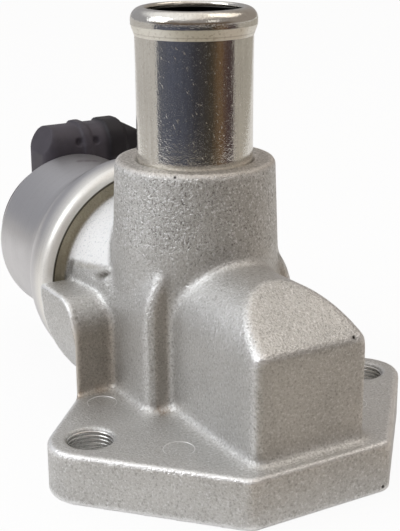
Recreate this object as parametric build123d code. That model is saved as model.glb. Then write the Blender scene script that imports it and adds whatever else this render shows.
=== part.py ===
from build123d import *
import os
from math import asin, cos, degrees, radians, sin, sqrt

# Idle air control valve, millimetres, +Z up.
# Origin: middle of the flange's bottom face, halfway between the bolt holes.
# X runs along the bolt line, +Y towards the solenoid, +Z along the hose tube.

# Flange
BOLT_SPACING = 52.0
BOLT_HOLE_R = 3.6
BOLT_HOLE_CHAMFER = 0.35
FLANGE_T = 8.4
FLANGE_HALF_DEPTH = 25.0
FLANGE_CORNER_X = 11.6
FLANGE_CORNER_R = 2.0
FLANGE_EDGE_R = 0.7
FLANGE_FOOT_R = 0.5
LUG_R = 6.6
BASE_FILLET_R = 1.4

# Valve axis, parallel to Y
AXIS_Z = 22.9
PLUNGER_TRAVEL = 4.0

# Pod that turns the air down into the flange
POD_R = 10.05
POD_FRONT_Y = -22.1
POD_CAP_Z = 25.3
POD_CAP_ANGLE = 33.4
POD_EDGE_R = 1.6
AIR_PORT_R = 6.3
AIR_PORT_Y = -10.5

# Tower that holds the hose tube
TOWER_Y = 12.0
TOWER_TOP_Z = 47.1
TOWER_TOP_R = 13.05
TOWER_FOOT_R = 14.0
TOWER_EDGE_R = 0.9
PASSAGE_R = 6.8
PASSAGE_SHIFT = 1.4

# Valve-bore block, cradle and round boss behind the tower
BLOCK_R = 14.1
BLOCK_FRONT_Y = 2.8
BLOCK_EDGE_R = 1.8
CHAMBER_R = 10.6
CRADLE_R = 21.2
CRADLE_FRONT_Y = 15.3
CRADLE_REAR_Y = 28.2
CRADLE_TOP_Z = 24.5
CRADLE_EDGE_R = 5.0
BOSS_FRONT_R = 14.4
BOSS_REAR_R = 16.1
CAN_FLANGE_Y = 29.6
CAN_FLANGE_T = 2.4

# Hose tube
TUBE_R = 9.4
TUBE_WALL = 1.0
TUBE_SEAT_DEPTH = 13.0
TUBE_FLARE_L = 3.6
TUBE_FLARE = 0.2
TUBE_BEAD_H = 3.2
TUBE_BEAD = 0.67
TUBE_TOP_Z = 71.2
TUBE_LIP = 0.25
TUBE_MOUTH_CHAMFER = 0.5

# Solenoid can
CAN_R = 15.7
CAN_WALL = 1.2
CAN_END_Y = 61.5
CAN_END_EDGE_R = 2.5
RIM_R = 20.2
RIM_LENGTH = 3.0
LIP_T = 0.8
LIP_WIDTH = 1.9
RIM_EDGE_R = 1.8
FLARE_LENGTH = 13.5
CAN_HOLE_R = 11.2

# Valve seat, poppet and rod
SEAT_FRONT_Y = 3.5
SEAT_T = 3.0
SEAT_R = 9.2
SEAT_BORE_R = 5.5
SEAT_CHAMFER = 1.0
SEAT_GAP = 0.2
POPPET_R = 7.4
POPPET_T = 4.1
POPPET_RIM_H = 1.5
POPPET_RIM_T = 1.0
POPPET_HUB_R = 3.4
POPPET_HUB_L = 3.5
ROD_R = 2.0
ROD_SHOULDER_R = 2.6
ROD_SHOULDER_L = 1.5
ROD_NOSE = 2.0
CLIP_R = 4.0
CLIP_T = 0.7
CLIP_GROOVE_R = 1.5
CLIP_MOUTH = 0.9

# Return spring
SPRING_R = 5.3
SPRING_WIRE_R = 0.4
SPRING_TURNS = 6.5

# Solenoid inside the can
SEAL_R = 13.1
SEAL_WIDTH = 1.8
SEAL_DEPTH = 1.55
PLATE_T = 3.0
PLATE_GAP = 1.5
SPIGOT_L = 4.5
PLATE_BOSS_R = 4.2
PLATE_BOSS_L = 2.0
BUSH_R = 3.2
REAR_BUSH_L = 4.5
ARMATURE_R = 6.82
ARMATURE_L = 12.0
ARMATURE_CHAMFER = 0.6
SLEEVE_WALL = 0.45
SLEEVE_SEAT = 1.5
CORE_GAP = 0.4
BOBBIN_WALL = 1.0
BOBBIN_FLANGE_T = 1.2
BOBBIN_L = 20.4
BOBBIN_GAP = 0.4
WINDING_INSET = 0.6
REAR_SEAL_WIDTH = 1.4
REAR_SEAL_T = 1.0

# Connector
CAP_R = 13.6
CAP_T = 3.6
CAP_EDGE_R = 1.0
SHROUD_X0 = -4.0
SHROUD_X1 = 19.0
SHROUD_GAP = 0.3
SHROUD_Z = 34.95
SHROUD_DEPTH = 10.2
SHROUD_HEIGHT = 15.9
SHROUD_CORNER_R = 4.2
SHROUD_END_R = 2.5
SHROUD_WALL = 1.3
SOCKET_DEPTH = 10.0
COLLAR_STEP = 0.55
COLLAR_L = 3.6
MOUTH_RAMP_L = 5.6
MOUTH_DROP = 3.2
RIB_X = 4.2
RIB_L = 1.6
DIMPLE_R = 0.7
DIMPLE_DEPTH = 1.1
DIMPLE_DROP = 2.9
DIMPLE_PITCH = 3.7
BLADE_T = 0.8
BLADE_W = 2.3
BLADE_PITCH = 6.9
BLADE_SETBACK = 4.5
UPPER_LEG_X = -2.6
LOWER_LEG_X = 2.6

# Clearances
PRESS_CLEARANCE = 0.02
RUN_CLEARANCE = 0.06
SEAT_CLEARANCE = 0.05
PART_CLEARANCE = 0.1
SLOT_CLEARANCE = 0.3

# Places worked out from the sizes above
BODY_REAR_Y = CAN_FLANGE_Y + CAN_FLANGE_T
SEAT_REAR_Y = SEAT_FRONT_Y + SEAT_T
TUBE_SEAT_Z = TOWER_TOP_Z - TUBE_SEAT_DEPTH
TUBE_BORE_R = TUBE_R - TUBE_WALL
PLATE_Y0 = BODY_REAR_Y + SEAT_CLEARANCE
PLATE_Y1 = PLATE_Y0 + PLATE_T
PLATE_R = RIM_R - CAN_WALL - PLATE_GAP
SPIGOT_Y0 = BODY_REAR_Y - SPIGOT_L
BOBBIN_Y0 = PLATE_Y1 + SEAT_CLEARANCE
BOBBIN_Y1 = BOBBIN_Y0 + BOBBIN_L
REAR_PLATE_Y0 = BOBBIN_Y1 + SEAT_CLEARANCE
CAN_FLOOR_Y = CAN_END_Y - CAN_WALL
REAR_PLATE_Y1 = CAN_FLOOR_Y - SEAT_CLEARANCE
CAN_BORE_R = CAN_R - CAN_WALL
SLEEVE_R0 = ARMATURE_R + RUN_CLEARANCE
SLEEVE_R1 = SLEEVE_R0 + SLEEVE_WALL
BOBBIN_BORE_R = SLEEVE_R1 + SEAT_CLEARANCE
ARMATURE_Y0 = PLATE_Y1 + SLOT_CLEARANCE
ARMATURE_Y1 = ARMATURE_Y0 + ARMATURE_L
CORE_Y0 = ARMATURE_Y1 + PLUNGER_TRAVEL + CORE_GAP
ROD_REAR_Y = CORE_Y0 + REAR_BUSH_L / 2
POPPET_Y0 = SEAT_REAR_Y - SEAT_CHAMFER - CLIP_T
POPPET_BACK_Y = POPPET_Y0 + POPPET_T
POPPET_HUB_Y1 = POPPET_BACK_Y + POPPET_HUB_L
CLIP_Y0 = POPPET_Y0 - SEAT_CLEARANCE - CLIP_T
SHROUD_Y = CAN_END_Y + SHROUD_GAP + COLLAR_STEP + SHROUD_DEPTH / 2
LOWER_Z = SHROUD_Z - BLADE_PITCH / 2
UPPER_Z = SHROUD_Z + BLADE_PITCH / 2
BOBBIN_FLANGE_R = CAN_BORE_R - BOBBIN_GAP

VALVE_AXIS = Axis((0, 0, AXIS_Z), (0, 1, 0))
# Sketch plane through the valve axis: local x is the radius, local y is the distance along Y
RADIAL = Plane(origin=(0, 0, AXIS_Z), x_dir=(0, 0, 1), z_dir=(-1, 0, 0))
BOTTOM = (Align.CENTER, Align.CENTER, Align.MIN)


def rod_y(radius, y0, y1):
    """A cylinder on the valve axis from y0 to y1."""
    return Pos(0, y0, AXIS_Z) * Rot(-90, 0, 0) * Cylinder(radius, y1 - y0, align=BOTTOM)


def ring_y(inner, outer, y0, y1):
    """A plain ring on the valve axis from y0 to y1."""
    return rod_y(outer, y0, y1) - rod_y(inner, y0, y1)


def turned(*points):
    """A solid turned about the valve axis from corners given as (radius, y)."""
    return revolve(RADIAL * make_face(Polyline(*points, close=True)), axis=VALVE_AXIS)


def block(x0, x1, y0, y1, z0, z1):
    """A box between two corners."""
    return Pos((x0 + x1) / 2, (y0 + y1) / 2, (z0 + z1) / 2) * Box(x1 - x0, y1 - y0, z1 - z0)


def arch(radius, y0, y1):
    """A round-topped wall about the valve axis that stands in the flange."""
    section = Plane(origin=(0, y1, AXIS_Z), x_dir=(1, 0, 0), z_dir=(0, -1, 0))
    foot = AXIS_Z - FLANGE_T / 2
    outline = Circle(radius) + Pos(0, -foot / 2) * Rectangle(2 * radius, foot)
    return extrude(section * outline, y1 - y0)


def flange_outline():
    """Six-sided outline with round lugs at the bolts."""
    corner_y = FLANGE_HALF_DEPTH - FLANGE_CORNER_R
    corners = Locations(*[(x, y) for x in (-FLANGE_CORNER_X, FLANGE_CORNER_X) for y in (-corner_y, corner_y)])
    lugs = Locations((-BOLT_SPACING / 2, 0), (BOLT_SPACING / 2, 0))
    circles = [place * Circle(FLANGE_CORNER_R) for place in corners]
    circles += [place * Circle(LUG_R) for place in lugs]
    return make_hull(ShapeList([circle.edge() for circle in circles]))


def flange():
    """Flange plate with rounded edges."""
    plate = extrude(flange_outline(), FLANGE_T)
    plate = fillet(plate.faces().sort_by(Axis.Z)[-1].edges(), FLANGE_EDGE_R)
    return fillet(plate.faces().sort_by(Axis.Z)[0].edges(), FLANGE_FOOT_R)


def pod():
    """Arched pod with a sloping cap over the downward turn."""
    body = arch(POD_R, POD_FRONT_Y, TOWER_Y)
    slope = radians(POD_CAP_ANGLE)
    cap = Plane(origin=(0, POD_FRONT_Y, POD_CAP_Z), x_dir=(1, 0, 0), z_dir=(0, -sin(slope), cos(slope)))
    body = split(body, bisect_by=cap, keep=Keep.BOTTOM)
    cap_face = body.faces().filter_by(lambda f: abs(f.normal_at().dot(cap.z_dir) - 1) < 1e-3)[0]
    front = body.faces().sort_by(Axis.Y)[0]
    rim = [edge for edge in front.edges() if edge.center().Z > FLANGE_T]
    rim += cap_face.edges().filter_by(GeomType.LINE, reverse=True)
    return fillet(rim, POD_EDGE_R)


def valve_block():
    """Round-topped block round the valve chamber."""
    body = arch(BLOCK_R, BLOCK_FRONT_Y, CRADLE_REAR_Y)
    front = body.faces().sort_by(Axis.Y)[0]
    return fillet([edge for edge in front.edges() if edge.center().Z > FLANGE_T], BLOCK_EDGE_R)


def cradle():
    """Saddle under the can: a drum about the valve axis on a foot flush with the flange."""
    drum = rod_y(CRADLE_R, CRADLE_FRONT_Y, CRADLE_REAR_Y)
    foot = extrude(flange_outline(), AXIS_Z)
    room = block(-BOLT_SPACING, BOLT_SPACING, CRADLE_FRONT_Y, CRADLE_REAR_Y, FLANGE_T / 2, CRADLE_TOP_Z)
    body = (drum + foot) & room
    top = body.faces().sort_by(Axis.Z)[-1]
    return fillet(top.edges().sort_by(Axis.Y)[0], CRADLE_EDGE_R)


def valve_body():
    """The casting: flange, pod, tower, block, web and the round flange that carries the can."""
    tower = Cone(TOWER_FOOT_R, TOWER_TOP_R, TOWER_TOP_Z - AXIS_Z, align=BOTTOM)
    tower = Pos(0, TOWER_Y, AXIS_Z) * tower
    tower = fillet(tower.edges().sort_by(Axis.Z)[-1], TOWER_EDGE_R)
    boss = turned(
        (0, CRADLE_FRONT_Y), (BOSS_FRONT_R, CRADLE_FRONT_Y), (BOSS_REAR_R, CAN_FLANGE_Y), (0, CAN_FLANGE_Y)
    )
    can_flange = rod_y(RIM_R - CAN_WALL - SEAT_CLEARANCE, CAN_FLANGE_Y, BODY_REAR_Y)
    body = flange() + pod() + valve_block() + cradle() + tower
    inner = offset(flange_outline(), -2 * FLANGE_EDGE_R).face()
    feet = body.edges().filter_by(Plane.XY).filter_by_position(Axis.Z, FLANGE_T, FLANGE_T)
    feet = feet.filter_by_position(Axis.Y, POD_FRONT_Y, CRADLE_FRONT_Y - BASE_FILLET_R)
    body = fillet([e for e in feet if inner.is_inside(Vector(e.center().X, e.center().Y, 0))], BASE_FILLET_R)
    body += boss + can_flange
    # Air way: hose socket, passage down to the chamber, chamber, seat pocket, elbow and flange port
    body -= Pos(0, TOWER_Y, TUBE_SEAT_Z) * Cylinder(TUBE_R + PRESS_CLEARANCE, TUBE_SEAT_DEPTH, align=BOTTOM)
    mouth_r = TUBE_R + PRESS_CLEARANCE + TUBE_MOUTH_CHAMFER
    mouth = Cone(mouth_r - TUBE_MOUTH_CHAMFER, mouth_r, TUBE_MOUTH_CHAMFER, align=BOTTOM)
    body -= Pos(0, TOWER_Y, TOWER_TOP_Z - TUBE_MOUTH_CHAMFER) * mouth
    passage = Cylinder(PASSAGE_R, TUBE_SEAT_Z - AXIS_Z, align=BOTTOM)
    body -= Pos(0, TOWER_Y + PASSAGE_SHIFT, AXIS_Z) * passage
    body -= rod_y(CHAMBER_R, SEAT_REAR_Y, BODY_REAR_Y)
    body -= rod_y(SEAT_R + PRESS_CLEARANCE, SEAT_FRONT_Y, SEAT_REAR_Y)
    body -= rod_y(AIR_PORT_R, AIR_PORT_Y, SEAT_FRONT_Y)
    body -= Pos(0, AIR_PORT_Y, 0) * Cylinder(AIR_PORT_R, AXIS_Z, align=BOTTOM)
    body -= Pos(0, AIR_PORT_Y, AXIS_Z) * Sphere(AIR_PORT_R)
    groove_y = BODY_REAR_Y - SEAL_DEPTH
    body -= ring_y(SEAL_R, SEAL_R + SEAL_WIDTH, groove_y, BODY_REAR_Y)
    for x in (-BOLT_SPACING / 2, BOLT_SPACING / 2):
        hole = Cylinder(BOLT_HOLE_R, FLANGE_T, align=BOTTOM)
        sink = Cone(BOLT_HOLE_R, BOLT_HOLE_R + BOLT_HOLE_CHAMFER, BOLT_HOLE_CHAMFER, align=BOTTOM)
        body -= Pos(x, 0, 0) * hole
        body -= Pos(x, 0, FLANGE_T - BOLT_HOLE_CHAMFER) * sink
    return body


def hose_tube():
    """Steel tube with a slight flare and a rolled bead at its open end."""
    neck_r = TUBE_R + TUBE_FLARE
    lip_r = TUBE_BORE_R - TUBE_LIP
    bead_z = TUBE_TOP_Z - TUBE_BEAD_H
    bead_r = TUBE_R + TUBE_BEAD
    outline = make_face(
        Polyline(
            (TUBE_BORE_R, TUBE_SEAT_Z),
            (TUBE_R, TUBE_SEAT_Z),
            (TUBE_R, bead_z - TUBE_FLARE_L),
            (neck_r, bead_z),
            (bead_r, bead_z + TUBE_BEAD_H / 8),
            (bead_r, TUBE_TOP_Z),
            (lip_r, TUBE_TOP_Z),
            (lip_r, TUBE_TOP_Z - TUBE_BEAD_H / 3),
            (TUBE_BORE_R, TUBE_TOP_Z - TUBE_BEAD_H / 2),
            close=True,
        )
    )
    outline = fillet(outline.vertices().group_by(Axis.X)[-1].sort_by(Axis.Y)[-1], 2 * TUBE_BEAD)
    outline = fillet(outline.vertices().group_by(Axis.X)[-1].sort_by(Axis.Y)[0], TUBE_BEAD)
    outline = fillet(outline.vertices().group_by(Axis.Y)[-1].sort_by(Axis.X)[0], TUBE_LIP + TUBE_WALL / 5)
    axis = Axis((0, TOWER_Y, 0), (0, 0, 1))
    plane = Plane(origin=(0, TOWER_Y, 0), x_dir=(1, 0, 0), z_dir=(0, -1, 0))
    return revolve(plane * outline, axis=axis)


def bell(inset, y0, y1):
    """Solid form of the can's outer face, drawn in by inset: rim, bell of two equal arcs, barrel."""
    drop = RIM_R - CAN_R
    bend_r = (FLARE_LENGTH**2 + drop**2) / (4 * drop)
    turn = degrees(asin(FLARE_LENGTH / (2 * bend_r)))
    flare_y0 = CAN_FLANGE_Y + RIM_LENGTH
    flare_y1 = flare_y0 + FLARE_LENGTH
    rim_r = RIM_R - inset
    wall_r = CAN_R - inset
    outline = [
        Line((0, y0), (rim_r, y0)),
        Line((rim_r, y0), (rim_r, flare_y0)),
        CenterArc((RIM_R - bend_r, flare_y0), bend_r - inset, 0, turn),
        CenterArc((CAN_R + bend_r, flare_y1), bend_r + inset, 180, turn),
        Line((wall_r, flare_y1), (wall_r, y1)),
        Line((wall_r, y1), (0, y1)),
        Line((0, y1), (0, y0)),
    ]
    return revolve(RADIAL * make_face(outline), axis=VALVE_AXIS)


def solenoid_can():
    """Deep-drawn can whose rim is rolled over the casting's round flange."""
    lip_y = CAN_FLANGE_Y - LIP_T
    can = bell(0, lip_y, CAN_END_Y)
    can = fillet(can.edges().sort_by(Axis.Y)[-1], CAN_END_EDGE_R)
    can = fillet(can.edges().sort_by(Axis.Y)[0], RIM_EDGE_R)
    can -= bell(CAN_WALL, CAN_FLANGE_Y, CAN_FLOOR_Y)
    can -= rod_y(RIM_R - LIP_WIDTH, lip_y, CAN_FLANGE_Y)
    return can - rod_y(CAN_HOLE_R, CAN_FLOOR_Y, CAN_END_Y)


def valve_seat():
    """Turned ring with a chamfered mouth that the poppet closes on."""
    cone_y = SEAT_REAR_Y - SEAT_CHAMFER
    return turned(
        (SEAT_BORE_R, SEAT_FRONT_Y),
        (SEAT_R, SEAT_FRONT_Y),
        (SEAT_R, SEAT_REAR_Y),
        (SEAT_BORE_R + SEAT_CHAMFER, SEAT_REAR_Y),
        (SEAT_BORE_R, cone_y),
    )


def valve_poppet():
    """Cone-faced poppet with a hub on the rod and a rim that holds the spring."""
    nose_r = SEAT_BORE_R - sqrt(2) * SEAT_GAP - (SEAT_REAR_Y - SEAT_CHAMFER - POPPET_Y0)
    bore_r = ROD_R + PRESS_CLEARANCE
    rim_y = POPPET_BACK_Y + POPPET_RIM_H
    return turned(
        (bore_r, POPPET_Y0),
        (nose_r, POPPET_Y0),
        (POPPET_R, POPPET_Y0 + POPPET_R - nose_r),
        (POPPET_R, rim_y),
        (POPPET_R - POPPET_RIM_T, rim_y),
        (POPPET_R - POPPET_RIM_T, POPPET_BACK_Y),
        (POPPET_HUB_R, POPPET_BACK_Y),
        (POPPET_HUB_R, POPPET_HUB_Y1),
        (bore_r, POPPET_HUB_Y1),
    )


def poppet_clip():
    """Open retaining clip that sits in the rod's groove."""
    mouth = CLIP_GROOVE_R * CLIP_MOUTH
    clip = ring_y(CLIP_GROOVE_R + PRESS_CLEARANCE, CLIP_R, CLIP_Y0, CLIP_Y0 + CLIP_T)
    return clip - block(-mouth, mouth, CLIP_Y0, CLIP_Y0 + CLIP_T, AXIS_Z - CLIP_R, AXIS_Z)


def valve_rod():
    """Rod from the poppet through both bushes, with a clip groove and a shoulder behind the poppet."""
    rod = rod_y(ROD_R, CLIP_Y0 - ROD_NOSE, ROD_REAR_Y)
    rod += rod_y(ROD_SHOULDER_R, POPPET_HUB_Y1, POPPET_HUB_Y1 + ROD_SHOULDER_L)
    return rod - ring_y(CLIP_GROOVE_R, ROD_R, CLIP_Y0, CLIP_Y0 + CLIP_T)


def armature():
    """Steel slug pressed on the rod."""
    body = ring_y(ROD_R + PRESS_CLEARANCE, ARMATURE_R, ARMATURE_Y0, ARMATURE_Y1)
    return chamfer(body.faces().sort_by(Axis.Y)[-1].edges().sort_by(SortBy.RADIUS)[-1], ARMATURE_CHAMFER)


def return_spring():
    """Round-wire compression spring between the poppet and the pole plate."""
    start = POPPET_BACK_Y + SPRING_WIRE_R + SEAT_CLEARANCE
    length = SPIGOT_Y0 - SPRING_WIRE_R - SEAT_CLEARANCE - start
    path = Helix(length / SPRING_TURNS, length, SPRING_R)
    wire = sweep(Plane(origin=path @ 0, z_dir=path % 0) * Circle(SPRING_WIRE_R), path=path)
    return Pos(0, start, AXIS_Z) * Rot(-90, 0, 0) * wire


def front_pole_plate():
    """Plate behind the casting with a spigot in the chamber and a boss for the front bush."""
    boss_y = SPIGOT_Y0 - PLATE_BOSS_L
    plate = rod_y(PLATE_R, PLATE_Y0, PLATE_Y1)
    plate += rod_y(CHAMBER_R - SEAT_CLEARANCE, SPIGOT_Y0, PLATE_Y0)
    plate += rod_y(PLATE_BOSS_R, boss_y, SPIGOT_Y0)
    plate -= rod_y(BUSH_R + PRESS_CLEARANCE, boss_y, PLATE_Y1)
    return plate - rod_y(SLEEVE_R1 + SEAT_CLEARANCE, PLATE_Y1 - SLEEVE_SEAT, PLATE_Y1)


def front_guide_bush():
    """Bush that guides the rod in the front pole plate."""
    return ring_y(ROD_R + RUN_CLEARANCE, BUSH_R, SPIGOT_Y0 - PLATE_BOSS_L, PLATE_Y1 - SLEEVE_SEAT)


def can_seal_ring():
    """Square-section seal in the casting's rear face."""
    edge = SEAT_CLEARANCE
    return ring_y(SEAL_R + edge, SEAL_R + SEAL_WIDTH - edge, BODY_REAR_Y - SEAL_DEPTH + edge, BODY_REAR_Y)


def guide_sleeve():
    """Thin tube that the armature runs in."""
    return ring_y(SLEEVE_R0, SLEEVE_R1, PLATE_Y1 - SLEEVE_SEAT + SEAT_CLEARANCE, BOBBIN_Y1)


def coil_bobbin():
    """Moulded spool."""
    hub_r = BOBBIN_BORE_R + BOBBIN_WALL
    return turned(
        (BOBBIN_BORE_R, BOBBIN_Y0),
        (BOBBIN_FLANGE_R, BOBBIN_Y0),
        (BOBBIN_FLANGE_R, BOBBIN_Y0 + BOBBIN_FLANGE_T),
        (hub_r, BOBBIN_Y0 + BOBBIN_FLANGE_T),
        (hub_r, BOBBIN_Y1 - BOBBIN_FLANGE_T),
        (BOBBIN_FLANGE_R, BOBBIN_Y1 - BOBBIN_FLANGE_T),
        (BOBBIN_FLANGE_R, BOBBIN_Y1),
        (BOBBIN_BORE_R, BOBBIN_Y1),
    )


def coil_winding():
    """The copper winding as one solid between the bobbin's flanges."""
    edge = BOBBIN_FLANGE_T + SEAT_CLEARANCE
    inner = BOBBIN_BORE_R + BOBBIN_WALL + SEAT_CLEARANCE
    return ring_y(inner, BOBBIN_FLANGE_R - WINDING_INSET, BOBBIN_Y0 + edge, BOBBIN_Y1 - edge)


def fixed_core():
    """Steel core behind the armature, bored for the rear bush and the rod's end."""
    core = rod_y(SLEEVE_R0 - SEAT_CLEARANCE, CORE_Y0, REAR_PLATE_Y1)
    core -= rod_y(BUSH_R + PRESS_CLEARANCE, CORE_Y0, CORE_Y0 + REAR_BUSH_L)
    return core - rod_y(ROD_R + PART_CLEARANCE, CORE_Y0, ROD_REAR_Y + PLUNGER_TRAVEL + CORE_GAP)


def rear_guide_bush():
    """Bush that guides the rod's rear end."""
    return ring_y(ROD_R + RUN_CLEARANCE, BUSH_R, CORE_Y0, CORE_Y0 + REAR_BUSH_L)


def leg_x(x0):
    """The two sides of a terminal's leg that starts at x0."""
    return x0, x0 + BLADE_W


def rear_pole_plate():
    """Plate behind the coil with slots for the terminal legs."""
    plate = ring_y(SLEEVE_R0, CAN_BORE_R - PART_CLEARANCE, REAR_PLATE_Y0, REAR_PLATE_Y1)
    reach = BLADE_T / 2 + SLOT_CLEARANCE
    for start in (UPPER_LEG_X, LOWER_LEG_X):
        x0, x1 = leg_x(start)
        x0, x1 = x0 - SLOT_CLEARANCE, x1 + SLOT_CLEARANCE
        plate -= block(x0, x1, REAR_PLATE_Y0, REAR_PLATE_Y1, LOWER_Z - reach, LOWER_Z + reach)
    return plate


def rear_seal_ring():
    """Seal between the can's end and the connector."""
    inner = CAN_HOLE_R + PART_CLEARANCE
    return ring_y(inner, inner + REAR_SEAL_WIDTH, CAN_END_Y, CAN_END_Y + REAR_SEAL_T)


def blade(x0, z):
    """Flat contact that runs along X in the socket."""
    y0 = SHROUD_Y - BLADE_W / 2
    return block(x0, SHROUD_X1 - BLADE_SETBACK, y0, y0 + BLADE_W, z - BLADE_T / 2, z + BLADE_T / 2)


def leg(start):
    """Flat leg that runs along Y from the socket to the coil."""
    x0, x1 = leg_x(start)
    return block(x0, x1, REAR_PLATE_Y0, SHROUD_Y + BLADE_W / 2, LOWER_Z - BLADE_T / 2, LOWER_Z + BLADE_T / 2)


def terminal_lower():
    """Lower contact, bent once."""
    return blade(LOWER_LEG_X, LOWER_Z) + leg(LOWER_LEG_X)


def terminal_upper():
    """Upper contact, bent down behind the socket and then forward."""
    y0 = SHROUD_Y - BLADE_W / 2
    riser = block(
        UPPER_LEG_X, UPPER_LEG_X + BLADE_T, y0, y0 + BLADE_W, LOWER_Z - BLADE_T / 2, UPPER_Z + BLADE_T / 2
    )
    return blade(UPPER_LEG_X, UPPER_Z) + riser + leg(UPPER_LEG_X)


def shroud_bar(x0, x1, step):
    """A length of the shroud's rounded section, grown by step all round."""
    section = Plane(origin=(x0, SHROUD_Y, SHROUD_Z), x_dir=(0, 1, 0), z_dir=(1, 0, 0))
    outline = RectangleRounded(SHROUD_DEPTH + 2 * step, SHROUD_HEIGHT + 2 * step, SHROUD_CORNER_R + step)
    return extrude(section * outline, x1 - x0)


def connector_housing():
    """Moulded end cap with a plug in the can's end and a side-facing two-way socket."""
    cap = rod_y(CAP_R, CAN_END_Y, CAN_END_Y + CAP_T)
    cap = fillet(cap.edges().sort_by(Axis.Y)[-1], CAP_EDGE_R)
    shroud = shroud_bar(SHROUD_X0, SHROUD_X1, 0)
    shroud = fillet(shroud.faces().sort_by(Axis.X)[0].edges(), SHROUD_END_R)
    housing = cap + rod_y(CAN_HOLE_R - PART_CLEARANCE, CAN_FLOOR_Y, CAN_END_Y) + shroud
    housing += shroud_bar(RIB_X, RIB_X + RIB_L, COLLAR_STEP)
    ramp_x = SHROUD_X1 - MOUTH_RAMP_L
    housing += shroud_bar(ramp_x - COLLAR_L, ramp_x, COLLAR_STEP)
    socket = Plane(origin=(SHROUD_X1 - SOCKET_DEPTH, SHROUD_Y, SHROUD_Z), x_dir=(0, 1, 0), z_dir=(1, 0, 0))
    mouth = RectangleRounded(
        SHROUD_DEPTH - 2 * SHROUD_WALL, SHROUD_HEIGHT - 2 * SHROUD_WALL, SHROUD_CORNER_R - SHROUD_WALL
    )
    housing -= extrude(socket * mouth, SOCKET_DEPTH)
    # The mouth slants back at its top
    top_z = SHROUD_Z + SHROUD_HEIGHT / 2
    wedge = [(ramp_x, top_z), (SHROUD_X1, top_z - MOUTH_DROP), (SHROUD_X1, top_z)]
    side = Plane(origin=(0, SHROUD_Y, 0), x_dir=(1, 0, 0), z_dir=(0, -1, 0))
    housing -= extrude(side * make_face(Polyline(*wedge, close=True)), SHROUD_DEPTH / 2, both=True)
    inner = CAN_HOLE_R + PART_CLEARANCE
    housing -= ring_y(inner, inner + REAR_SEAL_WIDTH, CAN_END_Y, CAN_END_Y + REAR_SEAL_T)
    wall_y = SHROUD_Y - SHROUD_DEPTH / 2
    dimple_z = top_z - DIMPLE_DROP
    for side in (-1, 1):
        x = RIB_X + RIB_L / 2 + side * DIMPLE_PITCH / 2
        dimple = Rot(-90, 0, 0) * Cylinder(DIMPLE_R, DIMPLE_DEPTH, align=BOTTOM)
        housing -= Pos(x, wall_y, dimple_z) * dimple
    return housing - terminal_upper() - terminal_lower()


PIECES = (
    valve_body,
    hose_tube,
    solenoid_can,
    valve_seat,
    valve_poppet,
    poppet_clip,
    valve_rod,
    armature,
    return_spring,
    front_pole_plate,
    front_guide_bush,
    can_seal_ring,
    guide_sleeve,
    coil_bobbin,
    coil_winding,
    fixed_core,
    rear_guide_bush,
    rear_pole_plate,
    rear_seal_ring,
    connector_housing,
    terminal_upper,
    terminal_lower,
)

os.makedirs("parts", exist_ok=True)
for piece in PIECES:
    export_step(piece(), f"parts/{piece.__name__}.step")
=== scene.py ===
import math

import bmesh
import bpy
import numpy as np
from bpy.props import FloatProperty, FloatVectorProperty, IntProperty, PointerProperty
from mathutils import Matrix, Vector


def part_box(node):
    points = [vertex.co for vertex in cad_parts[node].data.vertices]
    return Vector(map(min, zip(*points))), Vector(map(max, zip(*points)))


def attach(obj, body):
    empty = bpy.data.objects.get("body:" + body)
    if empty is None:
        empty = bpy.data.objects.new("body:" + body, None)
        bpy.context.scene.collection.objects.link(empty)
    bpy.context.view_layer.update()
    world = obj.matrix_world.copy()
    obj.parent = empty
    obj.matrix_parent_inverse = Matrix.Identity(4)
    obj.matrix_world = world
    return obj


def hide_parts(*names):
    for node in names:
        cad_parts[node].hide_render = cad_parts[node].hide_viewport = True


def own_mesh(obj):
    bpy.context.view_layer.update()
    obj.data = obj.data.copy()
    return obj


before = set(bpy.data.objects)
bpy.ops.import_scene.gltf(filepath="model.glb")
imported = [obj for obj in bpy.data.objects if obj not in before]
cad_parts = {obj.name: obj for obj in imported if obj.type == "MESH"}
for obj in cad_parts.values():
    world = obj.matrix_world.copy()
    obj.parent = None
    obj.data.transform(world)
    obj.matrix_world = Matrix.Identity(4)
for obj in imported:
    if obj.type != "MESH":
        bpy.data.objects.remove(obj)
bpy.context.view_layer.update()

bl_info = {
    "name": "Idle air control valve",
    "version": (1, 0, 0),
    "blender": (4, 5, 0),
    "location": "3D View > Sidebar > Valve",
    "description": "Dresses the packed valve: casting, hose tube, solenoid can, connector and inner pieces",
    "category": "Object",
}

MM = 0.001

# Axes of the turned pieces: the hose tube stands on Z, the solenoid lies on Y
TUBE_Y = 12 * MM
VALVE_Z = 22.9 * MM

# Places on the casting, in millimetres
FLANGE_TOP_Z = 8.4
BOLT_X = 26
BOLT_RIM_R = 4.4
TOWER_TOP_R = 13.4
TOWER_FOOT_R = 14.1
CRADLE_Y = 15.3
CRADLE_X = 13
BLOCK_Y = (2.4, 3.1)
BLOCK_X = (10.5, 13.1)
BOSS_END_Y = 28.9
BOSS_R = 16.7
# Boss's radius against Y
BOSS_Y, BOSS_SKIN = (15.3, 28.2), (14.4, 16.1)
# Marks on the boss's flank, both painted in shade and the notch also dented: centre in Y and Z, slope, half length and
# half height
NOTCH = ((18.4, 27.45), -0.45, 1.9, 0.4)
HOLLOW = ((22.6, 28.05), -0.13, 4.2, 0.32)
# Turned grooves of the bolt holes: lowest, pitch, radius and half width
BORE_LOW_Z, BORE_PITCH, BORE_RING_R, BORE_WIRE_R = 0.8, 0.62, 3.78, 0.32
# Middles of the ejector marks on the flange
EJECTORS = ((-16.25, -10.42), (-18.44, 11.1), (16.25, -10.42), (18.44, 11.1))

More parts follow.
